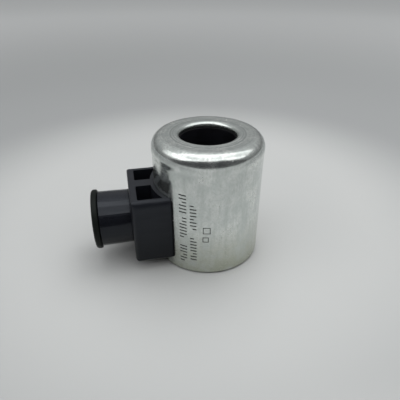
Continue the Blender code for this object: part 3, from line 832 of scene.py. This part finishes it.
def connector_housing(material):
    housing = bar(
        "connector_moulding",
        (-BLOCK_FACE, -BLOCK_HALF_WIDTH, BLOCK_LOW),
        (-BLOCK_END, BLOCK_HALF_WIDTH, BLOCK_HIGH),
    )
    round_block_edges(housing)
    can_space = solid_cylinder("can_space", CAN_RADIUS + SADDLE_GAP, -GAP, CAN_HEIGHT)
    combine(housing, can_space, "DIFFERENCE")
    pocket_end = BLOCK_HALF_WIDTH - SIDE_WALL
    combine(housing, pocket(-pocket_end, WEB_CENTRE - WEB_HALF_WIDTH), "DIFFERENCE")
    combine(housing, pocket(WEB_CENTRE + WEB_HALF_WIDTH, pocket_end), "DIFFERENCE")
    bevel(housing, BLOCK_EDGE_ROUNDING, 3, 42)
    sleeve, neck = winding_sleeve(), window_neck()
    for piece in (sleeve, neck, shroud(), saddle_lip()):
        combine(housing, piece, "UNION")
    combine(housing, lead_channel(), "DIFFERENCE")
    for side in (-1, 1):
        hole_end = BLOCK_FACE + GAP
        hole = solid_cylinder("tail_hole", TAIL_HOLE_RADIUS, TAIL_HOLE_START, hole_end, PIN_STEPS)
        lay_along_connector(hole, CONNECTOR_Z + side * CONTACT_SPACING / 2, x=0.0)
        combine(housing, hole, "DIFFERENCE")
    smooth(clean(housing), 36, weighted=True)
    finished(move_to_bore(housing), COIL, "connector_housing", material)


def contact_carrier(material):
    """A disc with a shallow ring groove in its face, and a hole for each contact."""
    edge = 0.5 * MM
    groove_z = CARRIER_FRONT - 0.25 * MM
    profile = [
        (0, CARRIER_FRONT),
        (6.6 * MM, CARRIER_FRONT),
        (6.9 * MM, groove_z),
        (7.5 * MM, groove_z),
        (7.8 * MM, CARRIER_FRONT),
    ]
    profile += arc(SPIGOT_RADIUS - edge, CARRIER_FRONT - edge, edge, 90, 0, 5)
    profile += [(SPIGOT_RADIUS, CARRIER_BACK), (0, CARRIER_BACK)]
    disc = lathe("contact_disc", profile, closed=False)
    for side in (-1, 1):
        low, high = CARRIER_BACK - GAP, CARRIER_FRONT + GAP
        hole = solid_cylinder("hole", CONTACT_HOLE_RADIUS, low, high, PIN_STEPS)
        hole.location = (side * CONTACT_SPACING / 2, 0.0, 0.0)
        combine(disc, hole, "DIFFERENCE")
    smooth(clean(disc), 30)
    finished(lay_along_connector(disc), COIL, "contact_carrier", material)


def contact_pin(name, node, material):
    """A pin with a round nose, a collar in front of the carrier and a thin tail behind it."""
    low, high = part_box(node)
    tip, tail = BORE_X - low.x, BORE_X - high.x
    radius, collar_r, tail_r = 1.25 * MM, 1.9 * MM, 0.6 * MM
    collar_low = CARRIER_FRONT + GAP
    collar_high = collar_low + 0.8 * MM
    soft = 0.12 * MM
    profile = [(0, tip)] + arc(0.0, tip - radius, radius, 84, 0, 10)
    profile += [
        (radius, collar_high),
        (collar_r - soft, collar_high),
        (collar_r, collar_high - soft),
        (collar_r, collar_low + soft),
        (collar_r - soft, collar_low),
        (radius, collar_low),
        (radius, CARRIER_BACK + GAP),
        (tail_r, CARRIER_BACK),
        (tail_r, tail),
        (0, tail),
    ]
    pin = smooth(lathe(name, profile, PIN_STEPS, False), 30)
    lay_along_connector(pin, (low.z + high.z) / 2)
    finished(pin, COIL, node, material)


def dust_plug(material):
    """A dished flange with a round edge, and a hollow spigot with two low ribs."""
    face_round, back_round = 1.2 * MM, 0.6 * MM
    dish_r, dish_depth = 8.6 * MM, 0.25 * MM
    back = SHROUD_END + 0.05 * MM
    profile = [(0, PLUG_FACE - dish_depth), (dish_r - 0.5 * MM, PLUG_FACE - dish_depth)]
    profile += arc(dish_r + dish_depth, PLUG_FACE - dish_depth, dish_depth, 180, 90, 4)
    profile += arc(PLUG_RADIUS - face_round, PLUG_FACE - face_round, face_round, 90, 0, 14)
    profile += arc(PLUG_RADIUS - back_round, back + back_round, back_round, 0, -90, 6)
    profile += [(SPIGOT_RADIUS, back)]

    rib, rib_half, crest_half = 0.15 * MM, 0.5 * MM, 0.15 * MM
    shoulder_r = SPIGOT_RADIUS + rib * 0.85
    for place_in in (2.2 * MM, 4.6 * MM):
        rib_z = SHROUD_END - place_in
        profile += [
            (SPIGOT_RADIUS, rib_z + rib_half),
            (shoulder_r, rib_z + crest_half),
            (SPIGOT_RADIUS + rib, rib_z),
            (shoulder_r, rib_z - crest_half),
            (SPIGOT_RADIUS, rib_z - rib_half),
        ]

    spigot_inside, lead_in = 8.1 * MM, 0.5 * MM
    profile += [
        (SPIGOT_RADIUS, SPIGOT_END + lead_in),
        (SPIGOT_RADIUS - lead_in, SPIGOT_END),
        (spigot_inside, SPIGOT_END),
        (spigot_inside, SHROUD_END),
        (0, SHROUD_END),
    ]
    plug = smooth(lathe("push_in_plug", profile, closed=False), 40)
    finished(lay_along_connector(plug), PLUG, "dust_plug", material)


# Generic print on the can

STROKE_LOW = CAN_RADIUS - 0.012 * MM
STROKE_HIGH = CAN_RADIUS + 0.018 * MM
STROKE_COLUMNS = 6
BAR_PITCH = 1.5 * MM
BAR_THICKNESS = 0.5 * MM
SQUARE_THICKNESS = 0.3 * MM
# A row's place round the can in degrees, its height, and for each of its groups the height up the
# can of the lowest bar and the number of bars
BAR_ROWS = (
    (-127.9, 3.1 * MM, ((5.3 * MM, 6), (17.3 * MM, 7), (29.0 * MM, 6))),
    (-117.0, 2.6 * MM, ((6.8 * MM, 8), (22.0 * MM, 8))),
)
# The ends a bar may have, as shares of the row's height: whole, lower half or upper half
BAR_ENDS = ((-0.5, 0.5), (-0.5, 0.5), (-0.5, 0.1), (-0.1, 0.5))
# A square's place round the can in degrees, its height up the can and its side
SQUARES = ((-103.5, 20.4 * MM, 3.0 * MM), (-104.5, 16.4 * MM, 2.4 * MM))


def can_patch(built, arc_low, arc_high, z_low, z_high):
    """One thin printed stroke on the can's side; arc positions are lengths round the can."""
    layers = []
    for radius in (STROKE_LOW, STROKE_HIGH):
        rows = []
        for z_end in (z_low, z_high):
            row = []
            for i in range(STROKE_COLUMNS + 1):
                angle = (arc_low + (arc_high - arc_low) * (i / STROKE_COLUMNS)) / CAN_RADIUS
                place = (radius * math.cos(angle), radius * math.sin(angle), z_end)
                row.append(built.verts.new(place))
            rows.append(row)
        layers.append(rows)
    (inner_low, inner_high), (outer_low, outer_high) = layers
    for i in range(STROKE_COLUMNS):
        j = i + 1
        built.faces.new((outer_low[i], outer_low[j], outer_high[j], outer_high[i]))
        built.faces.new((inner_high[i], inner_high[j], inner_low[j], inner_low[i]))
        built.faces.new((inner_low[i], inner_low[j], outer_low[j], outer_low[i]))
        built.faces.new((outer_high[i], outer_high[j], inner_high[j], inner_high[i]))
    built.faces.new((inner_low[0], outer_low[0], outer_high[0], inner_high[0]))
    built.faces.new((inner_high[-1], outer_high[-1], outer_low[-1], inner_low[-1]))


def row_of_bars(built, chooser, middle_deg, height, groups):
    """One row, read up the can."""
    middle = math.radians(middle_deg) * CAN_RADIUS
    for z_start, count in groups:
        for i in range(count):
            start, end = chooser.choice(BAR_ENDS)
            left, right = middle + start * height, middle + end * height
            z = z_start + BAR_PITCH * i
            can_patch(built, left, right, z, z + BAR_THICKNESS)


def square_outline(built, middle_deg, z_low, side):
    middle = math.radians(middle_deg) * CAN_RADIUS
    left, right = middle - side / 2, middle + side / 2
    z_high = z_low + side
    line = SQUARE_THICKNESS
    can_patch(built, left, right, z_low, z_low + line)
    can_patch(built, left, right, z_high - line, z_high)
    can_patch(built, left, left + line, z_low + line, z_high - line)
    can_patch(built, right - line, right, z_low + line, z_high - line)


def printed_bars(material):
    """Two rows of plain bars and two plain squares, which say nothing, in place of a rating."""
    chooser = random.Random(7)
    built = bmesh.new()
    for middle_deg, height, groups in BAR_ROWS:
        row_of_bars(built, chooser, middle_deg, height, groups)
    for middle_deg, z_low, side in SQUARES:
        square_outline(built, middle_deg, z_low, side)
    mesh = bpy.data.meshes.new("printed_bars")
    built.to_mesh(mesh)
    built.free()
    bars = move_to_bore(link("printed_bars", mesh))
    bars.data.materials.append(material)
    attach(bars, COIL)


# Floor, light and camera

HEADING = math.radians(12.1)  # the camera looks along +Y, turned this much towards +X
FLOOR_SIZE = 6.0
PAINTED_POOL_CENTRE = (15.0 * MM, 38.0 * MM, 0.0)  # the centre of a painted pool of light on the floor
PAINTED_POOL_DARK, PAINTED_POOL_LIGHT = (0.42, 0.428, 0.425), (0.441, 0.447, 0.442)
FLOOR_PAINTED_SHADE, FLOOR_PAINTED_FAR_LIGHT = (0.274, 0.281, 0.283), (0.61, 0.62, 0.62)

CARD_LOW, CARD_HIGH = (-1.0, -0.002, 0.0), (1.0, 0.002, 0.28)
CARD_PLACE = (BORE_X - 0.063, -0.293, 0.0)

# Name, place, the point it's aimed at, size, and power in watts
CEILING_LIGHTS = (
    ("overhead_front", (-0.05, -0.505, 0.62), (-0.05, -0.505, 0.0), (2.4, 0.29), 3.1),
    ("overhead_middle", (0.0, -0.203, 0.62), (0.0, -0.203, 0.0), (2.2, 0.3), 1.35),
    ("overhead_back", (0.05, 0.035, 0.62), (0.05, 0.035, 0.0), (2.0, 0.16), 1.15),
    ("overhead_left", (-0.8, -0.05, 0.6), (0.0, 0.0, 0.03), (1.0, 0.45), 1.1),
)
# Throws the soft shadow towards the camera, and isn't mirrored in the metal
BACK_LIGHT = ("from_behind", (0.18, 0.22, 0.65), (0.0, 0.0, 0.0), (0.5, 0.5), 2.3)

# Height of the direction, from 0 at the horizon to 1 straight up, and the sky's brightness there
SKY_STOPS = ((0.0, 0.12), (0.35, 0.36), (0.6, 0.52), (0.85, 0.68), (1.0, 1.1))
SKY_TONE = (0.985, 1.0, 1.005)
CAMERA_SIDE_SKY = (0.1, 0.1, 0.105, 1.0)
CAMERA_SIDE_STARTS, CAMERA_SIDE_FULL = 0.3, 0.75  # cosines of the angle to the camera's side

SENSOR_WIDTH, LENS = 36.0, 33.96  # in millimetres, as Blender takes them
NEAREST_SEEN = 0.001
EYE = (BORE_X - 32.4 * MM, -136.1 * MM, 109.2 * MM)
TILT = math.radians(90 - 31.91)  # up from straight down


def pale_floor():
    bpy.ops.mesh.primitive_plane_add(size=FLOOR_SIZE)
    floor = bpy.context.active_object
    floor.name = "pale_floor"
    floor.location = PAINTED_POOL_CENTRE
    finish = Finish("pale floor", (0.42, 0.425, 0.42), 0.6)
    # Painted light and shade: a paler pool round the centre, painted shade round it away from the
    # camera, and painted light on the floor far away.
    painted_pool = finish.blend(finish.noise(60.0 * MM, detail=3.0), PAINTED_POOL_DARK, PAINTED_POOL_LIGHT)
    behind = finish.ranged(finish.part("Y"), -150.0 * MM, -110.0 * MM)
    outside_pool = finish.ranged(finish.radius(), 85.0 * MM, 175.0 * MM)
    away = finish.maths("MULTIPLY", behind, outside_pool)
    far = finish.ranged(finish.radius(), 250.0 * MM, 1000.0 * MM)
    finish.colour(finish.blend(away, painted_pool, finish.blend(far, FLOOR_PAINTED_SHADE, FLOOR_PAINTED_FAR_LIGHT)))
    finish.shader.inputs["Specular IOR Level"].default_value = 0.3
    floor.data.materials.append(finish.material)


def dark_card():
    """Stands behind the camera, unseen by it, and gives the metal something dark to mirror."""
    card = bar("dark_card", CARD_LOW, CARD_HIGH)
    card.rotation_euler = (0.0, 0.0, -HEADING)
    card.location = CARD_PLACE
    card.visible_camera = False
    card.visible_diffuse = False
    card.visible_shadow = False
    card.data.materials.append(Finish("dark card", (0.04, 0.04, 0.045), 0.9).material)


def area_light(name, place, aim, size, power, mirrored=True):
    data = bpy.data.lights.new(name, "AREA")
    data.shape = "RECTANGLE"
    data.size, data.size_y = size
    data.energy = power
    lamp = bpy.data.objects.new(name, data)
    bpy.context.scene.collection.objects.link(lamp)
    lamp.location = place
    lamp.visible_glossy = mirrored
    vector = type(lamp.location)
    lamp.rotation_euler = (lamp.location - vector(aim)).to_track_quat("Z", "Y").to_euler()


def soft_world():
    """Brightest overhead, dim on the camera's side."""
    world = bpy.data.worlds.new("soft_studio")
    bpy.context.scene.world = world
    world.use_nodes = True
    tree = world.node_tree
    background = tree.nodes["Background"]
    direction = tree.nodes.new("ShaderNodeTexCoord").outputs["Generated"]
    parts = tree.nodes.new("ShaderNodeSeparateXYZ")
    tree.links.new(direction, parts.inputs["Vector"])
    ramp = tree.nodes.new("ShaderNodeValToRGB")
    tree.links.new(parts.outputs["Z"], ramp.inputs["Fac"])
    elements = ramp.color_ramp.elements
    while len(elements) < len(SKY_STOPS):
        elements.new(0.5)
    for element, (place, level) in zip(elements, SKY_STOPS):
        element.position = place
        element.color = (*(level * tone for tone in SKY_TONE), 1.0)
    towards = tree.nodes.new("ShaderNodeVectorMath")
    towards.operation = "DOT_PRODUCT"
    tree.links.new(direction, towards.inputs[0])
    towards.inputs[1].default_value = (-math.sin(HEADING), -math.cos(HEADING), 0.0)
    dim = tree.nodes.new("ShaderNodeMapRange")
    dim.interpolation_type = "SMOOTHSTEP"
    tree.links.new(towards.outputs["Value"], dim.inputs["Value"])
    dim.inputs["From Min"].default_value = CAMERA_SIDE_STARTS
    dim.inputs["From Max"].default_value = CAMERA_SIDE_FULL
    mix = tree.nodes.new("ShaderNodeMix")
    mix.data_type = "RGBA"
    tree.links.new(dim.outputs["Result"], mix.inputs["Factor"])
    tree.links.new(ramp.outputs["Color"], mix.inputs[6])
    mix.inputs[7].default_value = CAMERA_SIDE_SKY
    tree.links.new(mix.outputs[2], background.inputs["Color"])
    background.inputs["Strength"].default_value = 1.0


def camera():
    data = bpy.data.cameras.new("camera")
    data.sensor_width = SENSOR_WIDTH
    data.lens = LENS
    data.clip_start = NEAREST_SEEN
    eye = bpy.data.objects.new("camera", data)
    bpy.context.scene.collection.objects.link(eye)
    eye.location = EYE
    eye.rotation_euler = (TILT, 0.0, -HEADING)
    bpy.context.scene.camera = eye


# The whole scene


def housing_nylon():
    return moulded_finish(
        "black nylon",
        dark=(0.0075, 0.0083, 0.0115),
        light=(0.0105, 0.0116, 0.0152),
        low_rough=0.36,
        high_rough=0.46,
        grain_depth=3e-6,
        sheen=(0.86, 0.92, 1.0),
        level=0.29,
        polished_beyond=BLOCK_FACE,
    )


def spool_nylon():
    dark, light = (0.002, 0.002, 0.003), (0.004, 0.004, 0.006)
    return moulded_finish("bobbin nylon", dark, light, 0.4, 0.52, level=0.2)


def carrier_nylon():
    dark, light = (0.014, 0.014, 0.017), (0.02, 0.02, 0.024)
    return moulded_finish("carrier nylon", dark, light, 0.38, 0.5)


def nitrile_rubber():
    dark, light = (0.008, 0.008, 0.008), (0.014, 0.014, 0.014)
    return moulded_finish("nitrile rubber", dark, light, 0.55, 0.7)


def plug_rubber():
    return moulded_finish(
        "plug rubber",
        dark=(0.002, 0.003, 0.0026),
        light=(0.0035, 0.0044, 0.004),
        low_rough=0.45,
        high_rough=0.6,
        grain_depth=5e-6,
        sheen=(0.92, 1.0, 0.95),
        level=0.16,
    )


def main():
    zinc = zinc_finish()
    nylon, bobbin_plastic, carrier_plastic = housing_nylon(), spool_nylon(), carrier_nylon()
    nitrile, soft = nitrile_rubber(), plug_rubber()
    steel, copper, tin, film = steel_finish(), copper_finish(), tin_finish(), film_finish()

    steel_can(zinc)
    base_plate(zinc)
    upper_ring(steel)
    bobbin(bobbin_plastic)
    winding(copper)
    seal_ring("upper_seal", "upper_seal_ring", nitrile)
    seal_ring("lower_seal", "lower_seal_ring", nitrile)
    connector_housing(nylon)
    contact_carrier(carrier_plastic)
    contact_pin("lower_pin", "contact_pin_lower", tin)
    contact_pin("upper_pin", "contact_pin_upper", tin)
    dust_plug(soft)
    printed_bars(ink_finish())

    kept = {
        "winding_tape": film,
        "start_lead_pad": film,
        "start_lead_sleeving": film,
        "finish_lead_sleeving": film,
        "start_lead_wire": copper,
        "finish_lead_wire": copper,
        "crimp_ferrule_lower": tin,
        "crimp_ferrule_upper": tin,
    }
    for node, material in kept.items():
        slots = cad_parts[node].data.materials
        slots.clear()
        slots.append(material)

    pale_floor()
    dark_card()
    soft_world()
    for light in CEILING_LIGHTS:
        area_light(*light)
    area_light(*BACK_LIGHT, mirrored=False)
    camera()
    bpy.context.scene.view_settings.view_transform = "Standard"


main()
